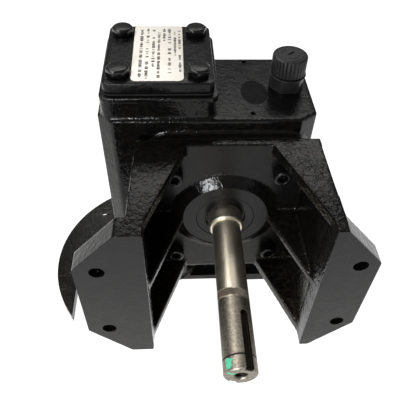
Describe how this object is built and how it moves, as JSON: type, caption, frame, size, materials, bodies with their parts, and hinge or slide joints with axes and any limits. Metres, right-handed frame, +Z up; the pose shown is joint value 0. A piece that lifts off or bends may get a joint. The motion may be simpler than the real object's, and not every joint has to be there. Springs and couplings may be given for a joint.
{
  "type": "right angle gearbox",
  "caption": "Right-angle geared reducer with a keyed output shaft between two winged mounting pads, a bolted inspection cover on top and a round motor flange below.",
  "frame": {"origin": "the middle of the underside of the whole gearbox's box, in the plane of the motor flange's lower face", "axes": "+Z is up, away from the motor flange; the output shaft is parallel to Y and points along -Y"},
  "size_m": [0.352, 0.409, 0.3502],
  "materials": {
    "black_paint": "semi-gloss black paint over a cast surface",
    "ground_steel": "turned and ground",
    "bearing_steel": "hardened and ground",
    "blackened_steel": "black oxide",
    "nitrile_rubber": "moulded",
    "black_plastic": "moulded",
    "gasket_paper": "pressed fibre",
    "label_white": "printed label"
  },
  "bodies": {
    "housing": {"gearcase": "black_paint", "cover_gasket": "gasket_paper", "inspection_cover": "black_paint", "cover_bolt_1": "blackened_steel", "cover_bolt_2": "blackened_steel", "cover_bolt_3": "blackened_steel", "cover_bolt_4": "blackened_steel", "nameplate": "label_white", "breather_body": "black_plastic", "breather_cap": "black_plastic", "level_plug": "blackened_steel", "drain_plug": "blackened_steel", "output_flange": "black_paint", "flange_screw_1": "blackened_steel", "flange_screw_2": "blackened_steel", "flange_screw_3": "blackened_steel", "flange_screw_4": "blackened_steel", "output_seal": "nitrile_rubber", "output_end_cap": "blackened_steel", "intermediate_end_cap": "blackened_steel", "input_seal": "nitrile_rubber", "motor_adapter": "black_paint", "adapter_screw_1": "blackened_steel", "adapter_screw_2": "blackened_steel", "adapter_screw_3": "blackened_steel", "adapter_screw_4": "blackened_steel", "output_front_bearing_outer_race": "bearing_steel", "output_rear_bearing_outer_race": "bearing_steel", "intermediate_front_bearing_outer_race": "bearing_steel", "intermediate_rear_bearing_outer_race": "bearing_steel", "input_upper_bearing_outer_race": "bearing_steel", "input_lower_bearing_outer_race": "bearing_steel"},
    "output_rotor": {"output_shaft": "ground_steel", "output_wheel": "ground_steel", "wheel_key": "ground_steel", "spacer_sleeve": "ground_steel", "output_front_bearing_inner_race": "bearing_steel", "output_rear_bearing_inner_race": "bearing_steel"},
    "intermediate_rotor": {"intermediate_shaft": "ground_steel", "crown_wheel": "ground_steel", "crown_key": "ground_steel", "intermediate_front_bearing_inner_race": "bearing_steel", "intermediate_rear_bearing_inner_race": "bearing_steel"},
    "input_rotor": {"input_pinion_shaft": "ground_steel", "input_upper_bearing_inner_race": "bearing_steel", "input_lower_bearing_inner_race": "bearing_steel"},
    "output_front_bearing_cage": {"output_front_bearing_rollers": "bearing_steel"},
    "output_rear_bearing_cage": {"output_rear_bearing_rollers": "bearing_steel"},
    "intermediate_front_bearing_cage": {"intermediate_front_bearing_rollers": "bearing_steel"},
    "intermediate_rear_bearing_cage": {"intermediate_rear_bearing_rollers": "bearing_steel"},
    "input_upper_bearing_cage": {"input_upper_bearing_rollers": "bearing_steel"},
    "input_lower_bearing_cage": {"input_lower_bearing_rollers": "bearing_steel"}
  },
  "joints": [
    {"name": "output_spin", "type": "hinge", "parent": "housing", "child": "output_rotor", "pos_m": [0.048, -0.0115, 0.194], "axis": [0, 1, 0], "continuous": true},
    {"name": "intermediate_spin", "type": "hinge", "parent": "housing", "child": "intermediate_rotor", "pos_m": [-0.026, -0.0115, 0.194], "axis": [0, 1, 0], "continuous": true},
    {"name": "input_spin", "type": "hinge", "parent": "housing", "child": "input_rotor", "pos_m": [-0.026, 0.0545, 0.194], "axis": [0, 0, 1], "continuous": true},
    {"name": "output_front_bearing_cage_spin", "type": "hinge", "parent": "housing", "child": "output_front_bearing_cage", "pos_m": [0.048, -0.0115, 0.194], "axis": [0, 1, 0], "continuous": true},
    {"name": "output_rear_bearing_cage_spin", "type": "hinge", "parent": "housing", "child": "output_rear_bearing_cage", "pos_m": [0.048, -0.0115, 0.194], "axis": [0, 1, 0], "continuous": true},
    {"name": "intermediate_front_bearing_cage_spin", "type": "hinge", "parent": "housing", "child": "intermediate_front_bearing_cage", "pos_m": [-0.026, -0.0115, 0.194], "axis": [0, 1, 0], "continuous": true},
    {"name": "intermediate_rear_bearing_cage_spin", "type": "hinge", "parent": "housing", "child": "intermediate_rear_bearing_cage", "pos_m": [-0.026, -0.0115, 0.194], "axis": [0, 1, 0], "continuous": true},
    {"name": "input_upper_bearing_cage_spin", "type": "hinge", "parent": "housing", "child": "input_upper_bearing_cage", "pos_m": [-0.026, 0.0545, 0.194], "axis": [0, 0, 1], "continuous": true},
    {"name": "input_lower_bearing_cage_spin", "type": "hinge", "parent": "housing", "child": "input_lower_bearing_cage", "pos_m": [-0.026, 0.0545, 0.194], "axis": [0, 0, 1], "continuous": true}
  ],
  "couplings": [
    {"joint": "intermediate_spin", "follows": "output_spin", "ratio": -3.1111},
    {"joint": "input_spin", "follows": "output_spin", "ratio": -6.2222},
    {"joint": "output_front_bearing_cage_spin", "follows": "output_spin", "ratio": 0.4342},
    {"joint": "output_rear_bearing_cage_spin", "follows": "output_spin", "ratio": 0.4321},
    {"joint": "intermediate_front_bearing_cage_spin", "follows": "output_spin", "ratio": -1.3135},
    {"joint": "intermediate_rear_bearing_cage_spin", "follows": "output_spin", "ratio": -1.3135},
    {"joint": "input_upper_bearing_cage_spin", "follows": "output_spin", "ratio": -2.8311},
    {"joint": "input_lower_bearing_cage_spin", "follows": "output_spin", "ratio": -2.8311}
  ]
}
